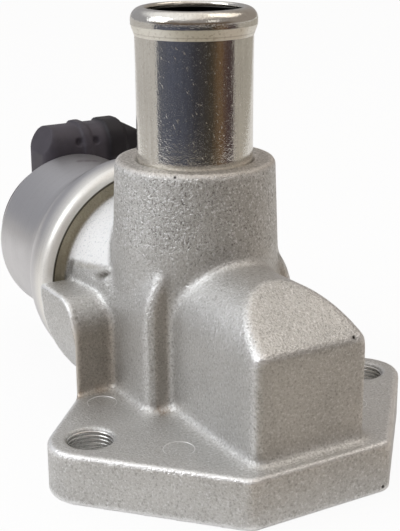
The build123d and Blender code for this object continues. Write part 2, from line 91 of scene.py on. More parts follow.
# Places on the hose tube and the solenoid can, in millimetres
TUBE_FOOT_Z = 34.1
TUBE_BORE_R = 8.6
NECK_Z = (66.8, 68.75)
NECK_LINE_Z = 67.35
CAN_Y = (28.8, 61.5)
FLARE_Y = (32.6, 46.1)
CAN_HOLE_R = 11.2

# Open pores of the casting, small dents painted with dark shade: place and radius in millimetres
PORES = ((-8.97, 2.81, 46.74, 0.34), (7.4, -21.66, 25.34, 0.42), (11.49, -25.0, 1.05, 0.42))
# Brown stains left by oil on the flange, in the same way
STAINS = ((-12.05, 2.19, FLANGE_TOP_Z, 1.9), (-16.8, 15.53, FLANGE_TOP_Z, 1.9), (-20.88, 15.57, FLANGE_TOP_Z, 1.7))
# Dark smear on top of the can, in the same way
SMUDGES = ((-1.15, 53.4, 38.56, 1.1), (0.1, 52.6, 38.6, 1.2), (1.3, 52.0, 38.54, 1.1))


# Node helpers

def add(tree, kind, inputs=None, **settings):
    """Add a node, set its own settings, and fill its inputs with values or links."""
    made = tree.nodes.new(kind)
    for key, value in settings.items():
        setattr(made, key, value)
    for key, value in (inputs or {}).items():
        if isinstance(value, bpy.types.NodeSocket):
            tree.links.new(value, made.inputs[key])
        else:
            made.inputs[key].default_value = value
    return made


def maths(tree, operation, first, second):
    """One Math node."""
    return add(tree, "ShaderNodeMath", {0: first, 1: second}, operation=operation).outputs[0]


def times(tree, first, second):
    """The product of two values."""
    return maths(tree, "MULTIPLY", first, second)


def own(tree, name):
    """One of the piece's own attributes as a mask."""
    return add(tree, "ShaderNodeAttribute", attribute_name=name).outputs["Fac"]


def vectors(tree, operation, first, second=(0, 0, 0)):
    """One Vector Math node; lengths, distances and dot products come out as values."""
    made = add(tree, "ShaderNodeVectorMath", {0: first, 1: second}, operation=operation)
    return made.outputs["Value" if operation in ("LENGTH", "DISTANCE", "DOT_PRODUCT") else "Vector"]


def spread(tree, value, low, high, to_low=0.0, to_high=1.0):
    """Map a value from one range to another with soft ends."""
    inputs = {"Value": value, "From Min": low, "From Max": high, "To Min": to_low, "To Max": to_high}
    return add(tree, "ShaderNodeMapRange", inputs, clamp=True, interpolation_type="SMOOTHSTEP").outputs["Result"]


def tint(tree, amount, first, second, mode="MIX"):
    """Mix two colours."""
    first, second = (c if isinstance(c, bpy.types.NodeSocket) else (*c[:3], 1.0) for c in (first, second))
    made = add(tree, "ShaderNodeMix", {0: amount, 6: first, 7: second}, data_type="RGBA", blend_type=mode)
    return made.outputs[2]


def noise(tree, vector, scale, detail=2.0, roughness=0.5):
    """One noise pattern."""
    inputs = {"Vector": vector, "Scale": scale, "Detail": detail, "Roughness": roughness}
    return add(tree, "ShaderNodeTexNoise", inputs).outputs[0]


def group(name, inputs, outputs):
    """An empty shader node group: its inputs with their defaults, and the names of its outputs."""
    tree = bpy.data.node_groups.new(name, "ShaderNodeTree")
    for title, default in inputs.items():
        kind = "NodeSocketVector" if isinstance(default, tuple) else "NodeSocketFloat"
        tree.interface.new_socket(title, in_out="INPUT", socket_type=kind).default_value = default
    for title in outputs:
        tree.interface.new_socket(title, in_out="OUTPUT", socket_type="NodeSocketFloat")
    return tree, tree.nodes.new("NodeGroupInput").outputs, tree.nodes.new("NodeGroupOutput").inputs


def grain_group():
    """Blasted or moulded grain: a height and two fleck masks."""
    tree, given, out = group("surface_grain", {"Vector": (0, 0, 0), "Size": 0.0003}, ("Height", "Fleck", "Dark Fleck"))
    scale = maths(tree, "DIVIDE", 1.0, given["Size"])
    coarse = noise(tree, given["Vector"], scale, 2.0, 0.6)
    fine = noise(tree, given["Vector"], times(tree, scale, 2.3), 1.0, 0.5)
    height = maths(tree, "ADD", times(tree, coarse, 0.65), times(tree, fine, 0.35))
    tree.links.new(height, out["Height"])
    tree.links.new(spread(tree, height, 0.53, 0.66), out["Fleck"])
    tree.links.new(spread(tree, height, 0.47, 0.34), out["Dark Fleck"])


def mottle_group():
    """Broad uneven patches, 0 to 1."""
    tree, given, out = group("uneven_patches", {"Vector": (0, 0, 0), "Size": 0.01}, ("Value",))
    value = noise(tree, given["Vector"], maths(tree, "DIVIDE", 1.0, given["Size"]), 3.0, 0.55)
    tree.links.new(spread(tree, value, 0.3, 0.7), out["Value"])


def lines_group():
    """Fine lines from drawing, rolling or turning: noise stretched by Stretch."""
    tree, given, out = group("tool_lines", {"Vector": (0, 0, 0), "Stretch": (1, 1, 1)}, ("Height", "Mask"))
    value = noise(tree, vectors(tree, "MULTIPLY", given["Vector"], given["Stretch"]), 1.0, 3.0, 0.6)
    tree.links.new(value, out["Height"])
    tree.links.new(spread(tree, value, 0.35, 0.68), out["Mask"])


def edge_group():
    """Rubbed edges: the piece's edge attribute broken up by grain."""
    tree, given, out = group("rubbed_edges", {"Edge": 0.0, "Break": 0.5, "Start": 0.25, "Full": 0.75}, ("Mask",))
    broken = maths(tree, "ADD", given["Edge"], times(tree, maths(tree, "SUBTRACT", given["Break"], 0.5), 0.7))
    tree.links.new(spread(tree, broken, given["Start"], given["Full"]), out["Mask"])


def use(tree, name, inputs):
    """Place one of the shared groups."""
    return add(tree, "ShaderNodeGroup", inputs, node_tree=bpy.data.node_groups[name]).outputs


def grained(tree, place, size):
    """Blasted or moulded grain of one size."""
    return use(tree, "surface_grain", {"Vector": place, "Size": size})


def patchy(tree, place, size):
    """Broad patches of one size."""
    return use(tree, "uneven_patches", {"Vector": place, "Size": size})["Value"]


def finish_of(name, **constants):
    """A material with a Principled shader whose plain values are set on its own sockets."""
    material = bpy.data.materials.new(name)
    material.use_nodes = True
    tree = material.node_tree
    shader = tree.nodes["Principled BSDF"]
    for key, value in constants.items():
        shader.inputs[key.replace("_", " ")].default_value = value
    return material, tree, shader, tree.nodes.new("ShaderNodeTexCoord").outputs["Object"]


def wire(tree, shader, **sockets):
    """Link sockets to the shader's inputs."""
    for key, socket in sockets.items():
        tree.links.new(socket, shader.inputs[key.replace("_", " ")])


def bump(tree, height, strength, distance, normal=None):
    """One Bump node, on top of another where normal is given."""
    inputs = {"Height": height, "Strength": strength, "Distance": distance}
    if normal is not None:
        inputs["Normal"] = normal
    return add(tree, "ShaderNodeBump", inputs).outputs[0]


# Finishes

def spot_mask(tree, place, spots, core):
    """1 inside each spot's core share of its radius, falling to 0 at the radius."""
    mask = 0.0
    for x, y, z, size in spots:
        apart = vectors(tree, "DISTANCE", place, (x * MM, y * MM, z * MM))
        mask = maths(tree, "MAXIMUM", mask, spread(tree, apart, size * MM, core * size * MM))
    return mask


def cast_finish(settings):
    """Shot-blasted die casting with fine sparkle, rubbed edges brightened partly as painted highlight, painted
    highlight in inner corners and on the boss, painted shade in the seat ring, notch, pores and on some faces, and
    brown stains in the corners.
    """
    material, tree, shader, place = finish_of("cast_aluminium_finish", IOR=1.45)
    grain = grained(tree, place, settings.grain)
    broad = patchy(tree, place, 0.009)
    edge = own(tree, "edge")
    hollow = own(tree, "hollow")
    rubbed = use(tree, "rubbed_edges", {"Edge": edge, "Break": grain["Height"], "Start": 0.12, "Full": 0.55})["Mask"]
    boss_highlight = own(tree, "boss_highlight")
    shade = own(tree, "shade")
    pore_shade = spot_mask(tree, place, PORES, 0.4)
    height = add(tree, "ShaderNodeSeparateXYZ", {0: place}).outputs[2]
    strength = spread(tree, height, 31 * MM, 37 * MM, 0.72, 1.45)
    body = tint(tree, broad, settings.colour, tuple(c * 0.9 for c in settings.colour))
    body = tint(tree, times(tree, grain["Fleck"], times(tree, strength, 0.75)), body, (0.95, 0.95, 0.97))
    body = tint(tree, times(tree, grain["Dark Fleck"], times(tree, strength, 0.6)), body, (0.2, 0.185, 0.175))
    # Pale inner corners: painted highlight in the hollows
    corner = times(tree, spread(tree, hollow, 0.06, 0.4), spread(tree, grain["Height"], 0.4, 0.58, 0.15, 0.75))
    body = tint(tree, corner, body, (0.9, 0.9, 0.89))
    patch = times(tree, spot_mask(tree, place, STAINS, 0.2), spread(tree, grain["Height"], 0.35, 0.6, 0.55, 0.15))
    body = tint(tree, patch, body, (0.4, 0.25, 0.13))
    # Rubbed edges: wear, made brighter as a painted highlight on the rounded edges
    body = tint(tree, times(tree, rubbed, 0.85), body, (0.95, 0.95, 0.95))
    # Boss top: painted highlight, near-white and not metallic, above the boss line
    body = tint(tree, boss_highlight, body, tint(tree, grain["Dark Fleck"], (0.98, 0.99, 1.0), (0.72, 0.75, 0.78)))
    # Seat ring and flank hollow: painted shade, brown
    body = tint(tree, shade, body, tint(tree, grain["Height"], (0.37, 0.335, 0.245), (0.5, 0.455, 0.355)))
    # Painted shade: darker cradle front, tower top ring and block face
    painted_shade = own(tree, "painted_shade")
    body = tint(tree, times(tree, painted_shade, 0.8), body, (0.7, 0.635, 0.56), "MULTIPLY")
    # Notch under the boss: painted shade in its dent
    notch_shade = own(tree, "notch_shade")
    body = tint(tree, times(tree, notch_shade, 0.85), body, (0.12, 0.105, 0.08))
    # Pores: painted shade in their shallow dents
    body = tint(tree, pore_shade, body, (0.03, 0.026, 0.022))
    rough = maths(tree, "ADD", spread(tree, grain["Height"], 0.3, 0.7, 0.5, 0.36), times(tree, broad, 0.05))
    rough = maths(tree, "SUBTRACT", rough, times(tree, rubbed, 0.06))
    swell = bump(tree, noise(tree, place, 420.0, 2.0), 0.2, 0.0006)
    relief = times(tree, grain["Height"], strength)
    metal = spread(tree, boss_highlight, 0.0, 1.0, 0.92, 0.0)
    wire(tree, shader, Base_Color=body, Roughness=rough, Metallic=metal,
         Normal=bump(tree, relief, 0.9, 0.00032, swell))
    return material


def zinc_finish(settings):
    """Bright zinc plate on drawn tube: mirror-like, wrinkled and scuffed, with painted shade in the bore."""
    material, tree, shader, place = finish_of("zinc_tube_finish", Metallic=1.0)
    drawn = use(tree, "tool_lines", {"Vector": place, "Stretch": (1500, 1500, 60)})
    turned = add(tree, "ShaderNodeMapping", {"Vector": place, "Rotation": (0.45, 0.3, 0.6)}).outputs[0]
    scuffs = use(tree, "tool_lines", {"Vector": turned, "Stretch": (2600, 2600, 900)})
    grain = grained(tree, place, 0.0005)
    broad = patchy(tree, place, 0.007)
    axis = add(tree, "ShaderNodeSeparateXYZ", {0: vectors(tree, "SUBTRACT", place, (0, TUBE_Y, 0))}).outputs
    reach = vectors(tree, "LENGTH", add(tree, "ShaderNodeCombineXYZ", {0: axis[0], 1: axis[1]}).outputs[0])
    low, high = NECK_Z
    bore = times(tree, spread(tree, reach, (TUBE_BORE_R + 0.15) * MM, TUBE_BORE_R * MM),
                 spread(tree, axis[2], 70.6 * MM, 70.2 * MM))
    neck = times(tree, spread(tree, axis[2], low * MM, (low + 0.1) * MM),
                 spread(tree, axis[2], high * MM, (high - 0.3) * MM))
    neck = times(tree, neck, spread(tree, reach, 9.0 * MM, 9.1 * MM))
    line = maths(tree, "COMPARE", axis[2], NECK_LINE_Z * MM)
    line.node.inputs[2].default_value = 0.09 * MM
    body = tint(tree, broad, settings.colour, tuple(c * 0.92 for c in settings.colour))
    body = tint(tree, times(tree, drawn["Mask"], 0.2), body, (0.5, 0.46, 0.4))
    body = tint(tree, times(tree, grain["Dark Fleck"], 0.2), body, (0.3, 0.27, 0.24))
    body = tint(tree, times(tree, neck, 0.6), body, (0.78, 0.75, 0.67))
    body = tint(tree, times(tree, neck, times(tree, grain["Dark Fleck"], 0.5)), body, (0.4, 0.36, 0.3))
    body = tint(tree, times(tree, line, 0.35), body, (0.3, 0.27, 0.22))
    # Bore: painted shade inside the tube
    body = tint(tree, bore, body, (0.035, 0.033, 0.03))
    mark = times(tree, spread(tree, scuffs["Height"], 0.62, 0.74), spread(tree, axis[2], 67 * MM, 66.6 * MM))
    rough = maths(tree, "ADD", spread(tree, broad, 0.0, 1.0, 0.1, 0.15), times(tree, mark, 0.2))
    rough = maths(tree, "ADD", rough, times(tree, bore, 0.5))
    rough = maths(tree, "ADD", rough, times(tree, neck, 0.22))
    ripple = bump(tree, drawn["Height"], 0.12, 0.00024)
    relief = maths(tree, "ADD", times(tree, mark, 0.3), times(tree, grain["Height"], 0.9))
    wire(tree, shader, Base_Color=body, Roughness=rough, Normal=bump(tree, relief, 0.3, 0.00012, ripple))
    return material


def can_finish(settings):
    """Satin zinc plate on the drawn can: soft rings round its axis, a rim painted near-white as its highlight, painted
    shadow at the lip gap and handling marks.
    """
    material, tree, shader, place = finish_of("plated_can_finish")
    rings = use(tree, "tool_lines", {"Vector": place, "Stretch": (40, 2600, 40)})
    grain = grained(tree, place, 0.00028)
    broad = patchy(tree, place, 0.012)
    along = add(tree, "ShaderNodeSeparateXYZ", {0: place}).outputs[1]
    rim = spread(tree, along, 34.5 * MM, 31.0 * MM)
    body = tint(tree, broad, settings.colour, tuple(c * 0.9 for c in settings.colour))
    # Rim: painted highlight, near-white and half metallic
    body = tint(tree, times(tree, rim, 0.9), body, settings.rim_highlight_colour)
    reach = vectors(tree, "DISTANCE", vectors(tree, "MULTIPLY", place, (1, 0, 1)), (0, 0, VALVE_Z))
    lip_shade = times(tree, spread(tree, reach, 18.75 * MM, 18.55 * MM), spread(tree, along, 29.7 * MM, 29.4 * MM))
    smudge = spot_mask(tree, place, SMUDGES, 0.3)
    body = tint(tree, times(tree, smudge, 0.6), body, (0.3, 0.24, 0.27))
    body = tint(tree, times(tree, rings["Mask"], 0.12), body, (0.45, 0.44, 0.46))
    body = tint(tree, times(tree, grain["Dark Fleck"], 0.16), body, (0.3, 0.28, 0.27))
    # Gap at the crimped lip: painted shadow
    body = tint(tree, lip_shade, body, (0.08, 0.07, 0.05))
    rough = maths(tree, "ADD", spread(tree, broad, 0.0, 1.0, 0.29, 0.34), times(tree, rim, 0.08))
    ripple = bump(tree, rings["Height"], 0.03, 0.0002)
    metal = spread(tree, along, 31.6 * MM, 29.8 * MM, 1.0, 0.5)
    wire(tree, shader, Base_Color=body, Roughness=rough, Metallic=metal,
         Normal=bump(tree, grain["Height"], 0.14, 0.0001, ripple))
    return material


def moulding_finish(name, colour, rub, roughness, dark_from=1.0):
    """Moulded plastic with a fine spark grain, dusty faces and rubbed edges, with painted shade past dark_from in X,
    high up.
    """
    material, tree, shader, place = finish_of(name, Metallic=0.0, IOR=1.33)
    grain = grained(tree, place, 0.00025)
    broad = patchy(tree, place, 0.006)
    edge = own(tree, "edge")
    rubbed = use(tree, "rubbed_edges", {"Edge": edge, "Break": grain["Height"], "Start": 0.3, "Full": 0.9})["Mask"]
    body = tint(tree, broad, colour, tuple(c * 1.5 for c in colour))
    body = tint(tree, times(tree, grain["Fleck"], 0.15), body, rub)
    body = tint(tree, times(tree, rubbed, 0.35), body, rub)
    axis = add(tree, "ShaderNodeSeparateXYZ", {0: place}).outputs
    # Painted shade: darker past dark_from in X, high up
    shaded_end = times(tree, spread(tree, axis[0], dark_from - 1 * MM, dark_from + 1 * MM),
                  spread(tree, axis[2], 35 * MM, 37 * MM))
    body = tint(tree, times(tree, shaded_end, 0.8), body, tuple(c * 0.12 for c in colour))
    rough = maths(tree, "ADD", spread(tree, broad, 0.0, 1.0, roughness - 0.06, roughness + 0.06),
                  times(tree, grain["Height"], 0.1))
    wire(tree, shader, Base_Color=body, Roughness=rough, Normal=bump(tree, grain["Height"], 0.3, 0.00009))
    return material


def turned_finish(name, colour, roughness, stretch=(60, 3800, 60)):
    """Turned or drawn metal: fine tool rings along the valve axis with slight tarnish."""
    material, tree, shader, place = finish_of(name, Metallic=1.0)
    rings = use(tree, "tool_lines", {"Vector": place, "Stretch": stretch})
    broad = patchy(tree, place, 0.004)
    body = tint(tree, broad, colour, tuple(c * 0.82 for c in colour))
    body = tint(tree, times(tree, rings["Mask"], 0.2), body, tuple(c * 0.6 for c in colour))
    rough = maths(tree, "ADD", spread(tree, rings["Height"], 0.3, 0.7, roughness - 0.06, roughness + 0.06),
                  times(tree, broad, 0.06))
    wire(tree, shader, Base_Color=body, Roughness=rough, Normal=bump(tree, rings["Height"], 0.2, 0.00012))
    return material


def rubber_finish():
    """Moulded seal rubber, matt with bloom."""
    material, tree, shader, place = finish_of("seal_rubber_finish", Metallic=0.0, IOR=1.5)
    grain = grained(tree, place, 0.0002)
    broad = patchy(tree, place, 0.003)
    body = tint(tree, times(tree, broad, 0.5), (0.022, 0.022, 0.022), (0.055, 0.053, 0.05))
    rough = spread(tree, grain["Height"], 0.3, 0.7, 0.72, 0.88)
    wire(tree, shader, Base_Color=body, Roughness=rough, Normal=bump(tree, grain["Height"], 0.25, 0.00008))
    return material


# Mesh helpers

def merged(node):
    """A copy of a CAD node's mesh with its loose triangles joined."""
    mesh = bpy.data.meshes.new(node + "_copy")
    work = bmesh.new()
    work.from_mesh(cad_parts[node].data)
    bmesh.ops.remove_doubles(work, verts=work.verts, dist=2e-6)
    bmesh.ops.recalc_face_normals(work, faces=work.faces)
    work.to_mesh(mesh)
    work.free()
    return mesh


def scratch_object(mesh):
    """A throwaway object in the scene, so that its modifiers can be evaluated."""
    obj = bpy.data.objects.new("scratch", mesh)
    bpy.context.scene.collection.objects.link(obj)
    return obj


def evaluated(obj):
    """The object's evaluated mesh; the object itself is removed."""
    graph = bpy.context.evaluated_depsgraph_get()
    mesh = bpy.data.meshes.new_from_object(obj.evaluated_get(graph))
    bpy.data.objects.remove(obj)
    return mesh


def points_of(mesh):
    """The mesh's points, one row each."""
    spot = np.empty(len(mesh.vertices) * 3)
    mesh.vertices.foreach_get("co", spot)
    return spot.reshape(-1, 3)


def set_points(mesh, spot):
    """Move the mesh's points."""
    mesh.vertices.foreach_set("co", spot.ravel())
    mesh.update()


def set_mask(mesh, name, values):
    """Keep a mask with the mesh's points."""
    mesh.attributes.new(name, "FLOAT", "POINT").data.foreach_set("value", np.asarray(values, dtype=np.float32))


def smooth(mesh):
    """Shade the mesh smooth."""
    mesh.polygons.foreach_set("use_smooth", np.ones(len(mesh.polygons), dtype=bool))


def ramp(values, low, high):
    """0 at low, 1 at high and straight between; low may be the larger."""
    return np.clip((values - low) / (high - low), 0, 1)


def softened(node, voxel, passes, hollow_passes, dents=()):
    """Dense even copy of a CAD node with eased corners and small dents, its edges and hollows kept as attributes."""
    obj = scratch_object(merged(node))
    remesh = obj.modifiers.new("even", "REMESH")
    remesh.mode = "VOXEL"
    remesh.voxel_size = voxel
    remesh.adaptivity = 0.0
    mesh = evaluated(obj)
    spot = points_of(mesh)
    count = len(spot)
    ends = np.empty(len(mesh.edges) * 2, dtype=np.int64)
    mesh.edges.foreach_get("vertices", ends)
    first, second = ends[0::2], ends[1::2]
    degree = np.maximum(np.bincount(ends, minlength=count), 1)

    def around(values):
        columns = []
        for column in values.T:
            total = np.bincount(first, column[second], count) + np.bincount(second, column[first], count)
            columns.append(total / degree)
        return np.array(columns).T

    def outward():
        set_points(mesh, spot)
        normals = np.empty(count * 3)
        mesh.vertex_normals.foreach_get("vector", normals)
        return normals.reshape(-1, 3)

    for _ in range(passes):
        spot += 0.5 * (around(spot) - spot)
        spot -= 0.52 * (around(spot) - spot)
    for _ in range(hollow_passes):
        step = around(spot) - spot
        inward = np.einsum("ij,ij->i", step, outward())
        spot += 0.6 * step * np.clip(inward / (0.02 * voxel), 0, 1)[:, None]
    step = around(spot) - spot
    bend = np.einsum("ij,ij->i", step, outward())[:, None] / voxel
    for _ in range(2):
        bend = 0.5 * bend + 0.5 * around(bend)
    normals = outward()
    for x, y, z, size in dents:
        apart = np.linalg.norm(spot - np.array((x, y, z)) * MM, axis=1) / (size * MM)
        spot -= normals * (0.6 * size * MM * np.clip(1.3 - apart, 0, 1))[:, None]
    spot = np.clip(spot, *(np.array(corner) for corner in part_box(node)))
    set_points(mesh, spot)
    set_mask(mesh, "edge", np.clip(-6 * bend[:, 0], 0, 1))
    set_mask(mesh, "hollow", np.clip(6 * bend[:, 0], 0, 1))
    smooth(mesh)
    return mesh


def rounded(corners, steps=7):
    """Round each (radius, height, round) corner of a closed outline."""
    points = []
    for index, (r, h, size) in enumerate(corners):
        corner = Vector((r, h))
        back = (Vector(corners[index - 1][:2]) - corner).normalized()
        on = (Vector(corners[(index + 1) % len(corners)][:2]) - corner).normalized()
        if size <= 0:
            points.append(corner)
            continue
        half = back.angle(on) / 2
        centre = corner + (back + on).normalized() * size / math.sin(half)
        start = corner + back * size / math.tan(half) - centre
        stop = corner + on * size / math.tan(half) - centre
        turn = math.atan2(start.x * stop.y - start.y * stop.x, start.dot(stop))
        for step in range(steps + 1):
            points.append(centre + Matrix.Rotation(turn * step / steps, 2) @ start)
    return points


def lathe(name, outline, place, steps=160):
    """Turn a closed outline of (radius, height) points in millimetres; place maps (x, y, height) to metres."""
    work = bmesh.new()
    rings = []
    for step in range(steps):
        angle = 2 * math.pi * step / steps
        rings.append([work.verts.new(place(p[0] * math.cos(angle), p[0] * math.sin(angle), p[1])) for p in outline])
    for step in range(steps):
        here, there = rings[step], rings[(step + 1) % steps]
        for index in range(len(outline)):
            after = (index + 1) % len(outline)
            work.faces.new((here[index], there[index], there[after], here[after]))
    bmesh.ops.remove_doubles(work, verts=work.verts, dist=1e-7)
    bmesh.ops.recalc_face_normals(work, faces=work.faces)
    mesh = bpy.data.meshes.new(name)
    work.to_mesh(mesh)
    work.free()
    smooth(mesh)
    mesh.set_sharp_from_angle(angle=math.radians(40))
    return mesh


def on_valve(x, y, height):
    """Place a turned point on the valve's axis."""
    return y * MM, height * MM, x * MM + VALVE_Z


def on_tube(x, y, height):
    """Place a turned point on the hose tube's axis."""
    return x * MM, y * MM + TUBE_Y, height * MM


def piece(name, mesh, material, slot, *nodes):
    """Put a finished mesh in the scene as a piece of the housing."""
    mesh.materials.clear()
    mesh.materials.append(material)
    obj = bpy.data.objects.new(name, mesh)
    bpy.context.scene.collection.objects.link(obj)
    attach(obj, "housing")
    if nodes:
        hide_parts(*nodes)
    return obj


def joined(name, meshes):
    """One mesh from several."""
    work = bmesh.new()
    for mesh in meshes:
        work.from_mesh(mesh)
    whole = bpy.data.meshes.new(name)
    work.to_mesh(whole)
    work.free()
    return whole


# Geometry Nodes

def ring_tree():
    """A row of thin rings: Count rings from Start by Step, each turned by Turn."""
    tree = bpy.data.node_groups.new("ring_row", "GeometryNodeTree")
    for title, kind, default in (
        ("Count", "NodeSocketInt", 1), ("Start", "NodeSocketVector", (0, 0, 0)),
        ("Step", "NodeSocketVector", (0, 0, 0)), ("Turn", "NodeSocketVector", (0, 0, 0)),
        ("Ring Radius", "NodeSocketFloat", 0.003), ("Wire Radius", "NodeSocketFloat", 0.0001),
        ("Segments", "NodeSocketInt", 64), ("Finish", "NodeSocketMaterial", None),
    ):
        socket = tree.interface.new_socket(title, in_out="INPUT", socket_type=kind)
        if default is not None:
            socket.default_value = default
    tree.interface.new_socket("Geometry", in_out="OUTPUT", socket_type="NodeSocketGeometry")
    given = tree.nodes.new("NodeGroupInput").outputs
    out = tree.nodes.new("NodeGroupOutput").inputs
    row = add(tree, "GeometryNodeMeshLine", {
        "Count": given["Count"], "Start Location": given["Start"], "Offset": given["Step"]})
    ring = add(tree, "GeometryNodeCurvePrimitiveCircle", {
        "Resolution": given["Segments"], "Radius": given["Ring Radius"]})
    section = add(tree, "GeometryNodeCurvePrimitiveCircle", {"Resolution": 8, "Radius": given["Wire Radius"]})
    tube = add(tree, "GeometryNodeCurveToMesh", {
        "Curve": ring.outputs["Curve"], "Profile Curve": section.outputs["Curve"]})
    turn = add(tree, "FunctionNodeEulerToRotation", {0: given["Turn"]})
    many = add(tree, "GeometryNodeInstanceOnPoints", {
        "Points": row.outputs[0], "Instance": tube.outputs[0], "Rotation": turn.outputs[0]})
    whole = add(tree, "GeometryNodeRealizeInstances", {0: many.outputs[0]})
    coated = add(tree, "GeometryNodeSetMaterial", {0: whole.outputs[0], "Material": given["Finish"]})
    tree.links.new(coated.outputs[0], out["Geometry"])
    return tree


def ring_row(finish, **sizes):
    """A plain mesh of one ring row."""
    tree = bpy.data.node_groups.get("ring_row") or ring_tree()
    obj = scratch_object(bpy.data.meshes.new("rings"))
    modifier = obj.modifiers.new("rings", "NODES")
    modifier.node_group = tree
    names = {s.name: s.identifier for s in tree.interface.items_tree if s.in_out == "INPUT"}
    for key, value in sizes.items():
        modifier[names[key.replace("_", " ")]] = value
    modifier[names["Finish"]] = finish
    mesh = evaluated(obj)
    smooth(mesh)
    return mesh


# Settings

class CastingSettings(bpy.types.PropertyGroup):
    voxel: FloatProperty(name="Voxel", description="Grid size of the softened casting", default=0.00046,
                         unit="LENGTH", subtype="DISTANCE", precision=5)
    passes: IntProperty(name="Easing", description="Smoothing passes over the whole casting", default=6)
    hollow_passes: IntProperty(name="Corner easing", description="Extra passes in the inner corners", default=12)
    grain: FloatProperty(name="Grain", description="Size of the blasted grain", default=0.0004,
                         unit="LENGTH", subtype="DISTANCE", precision=5)
    colour: FloatVectorProperty(name="Colour", description="Bare casting", subtype="COLOR",
                                default=(0.64, 0.635, 0.62))
    ejector_radius: FloatProperty(name="Ejector mark", description="Radius of the ejector marks on the flange",
                                  default=0.0024, unit="LENGTH", subtype="DISTANCE", precision=5)


class TubeSettings(bpy.types.PropertyGroup):
    radius: FloatProperty(name="Radius", description="Outside of the tube", default=0.0094, unit="LENGTH",
                          precision=5)
    bead: FloatProperty(name="Bead radius", description="Outside of the rolled bead", default=0.01007, unit="LENGTH",
                        precision=5)
    wall: FloatProperty(name="Wall", description="Wall thickness", default=0.001, unit="LENGTH", precision=5)
    top: FloatProperty(name="Top", description="Height of the open end", default=0.0712, unit="LENGTH", precision=5)
    colour: FloatVectorProperty(name="Colour", description="Zinc plate", subtype="COLOR", default=(0.8, 0.78, 0.73))


class CanSettings(bpy.types.PropertyGroup):
    radius: FloatProperty(name="Radius", description="Outside of the barrel", default=0.0157, unit="LENGTH",
                          precision=5)
    rim: FloatProperty(name="Rim radius", description="Outside of the crimped rim", default=0.0202, unit="LENGTH",
                       precision=5)
    wall: FloatProperty(name="Wall", description="Wall thickness", default=0.0012, unit="LENGTH", precision=5)
    colour: FloatVectorProperty(name="Colour", description="Satin plate", subtype="COLOR",
                                default=(0.65, 0.643, 0.655))
    rim_highlight_colour: FloatVectorProperty(name="Rim colour", description="Rim of the can", subtype="COLOR",
                                    default=(0.95, 0.935, 0.89))


class ConnectorSettings(bpy.types.PropertyGroup):
    voxel: FloatProperty(name="Voxel", description="Grid size of the softened moulding", default=0.00028,
                         unit="LENGTH", subtype="DISTANCE", precision=5)
    colour: FloatVectorProperty(name="Colour", description="Black moulding", subtype="COLOR",
                                default=(0.05, 0.045, 0.056))


class CoilSettings(bpy.types.PropertyGroup):
    wire: FloatProperty(name="Wire", description="Radius of the enamelled wire", default=0.00024, unit="LENGTH",
                        precision=5)
    colour: FloatVectorProperty(name="Colour", description="Enamelled copper", subtype="COLOR",
                                default=(0.62, 0.25, 0.1))


class StageSettings(bpy.types.PropertyGroup):
    lens: FloatProperty(name="Lens", description="Focal length for a 36 mm tall sensor", default=84.35, unit="CAMERA")
    key: FloatProperty(name="Key light", description="Soft light from the left, in watts", default=2.0)
    fill: FloatProperty(name="Fill light", description="Warm light from above on the right, in watts", default=0.5)
    window: FloatProperty(name="Window", description="Small light in front, seen in the bead, in watts", default=0.06)
    left_wall: FloatVectorProperty(name="Left wall", description="Room to the left and behind", subtype="COLOR",
                                   default=(0.38, 0.38, 0.4))
    right_wall: FloatVectorProperty(name="Right wall", description="Room to the right", subtype="COLOR",
                                    default=(0.32, 0.285, 0.255))
    front_wall: FloatVectorProperty(name="Front wall", description="Room behind the camera", subtype="COLOR",
                                    default=(0.13, 0.095, 0.07))


# Operators

class VALVE_OT_inner_pieces(bpy.types.Operator):
    """Dress the inner pieces in their turned, moulded and rubber finishes"""
    bl_idname = "valve.inner_pieces"
    bl_label = "Inner pieces"

    def execute(self, context):
        brass = turned_finish("brass_finish", (0.74, 0.55, 0.26), 0.28)
        steel = turned_finish("machined_steel_finish", (0.52, 0.52, 0.53), 0.3)
        spring = turned_finish("spring_steel_finish", (0.4, 0.4, 0.42), 0.34, (900, 900, 900))
        light = turned_finish("machined_aluminium_finish", (0.78, 0.78, 0.79), 0.3)
        tin = turned_finish("tinned_contact_finish", (0.76, 0.75, 0.72), 0.25, (60, 900, 2400))
        nylon = moulding_finish("bobbin_plastic_finish", (0.6, 0.57, 0.5), (0.8, 0.78, 0.72), 0.45)
        rubber = rubber_finish()
        wearing = {
            brass: ("valve_seat", "front_guide_bush", "rear_guide_bush", "guide_sleeve"),
            steel: ("valve_rod", "armature", "front_pole_plate", "fixed_core", "rear_pole_plate"),
            spring: ("poppet_clip",),
            light: ("valve_poppet",),
            tin: ("terminal_upper", "terminal_lower"),
            nylon: ("coil_bobbin",),
            rubber: ("can_seal_ring", "rear_seal_ring"),
        }
        for material, nodes in wearing.items():
            for node in nodes:
                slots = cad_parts[node].data.materials
                slots.clear()
                slots.append(material)
        return {"FINISHED"}


def slanted_spot(y, z, centre, slope, length, height):
    """1 inside a slanted oval on the boss's flank, falling to 0 outside it; sizes in millimetres."""
    turn = math.atan(slope)
    along = (y - centre[0]) * math.cos(turn) + (z - centre[1]) * math.sin(turn)
    across = (z - centre[1]) * math.cos(turn) - (y - centre[0]) * math.sin(turn)
    return np.clip(1.6 - 1.1 * np.hypot(along / length, across / height), 0, 1)


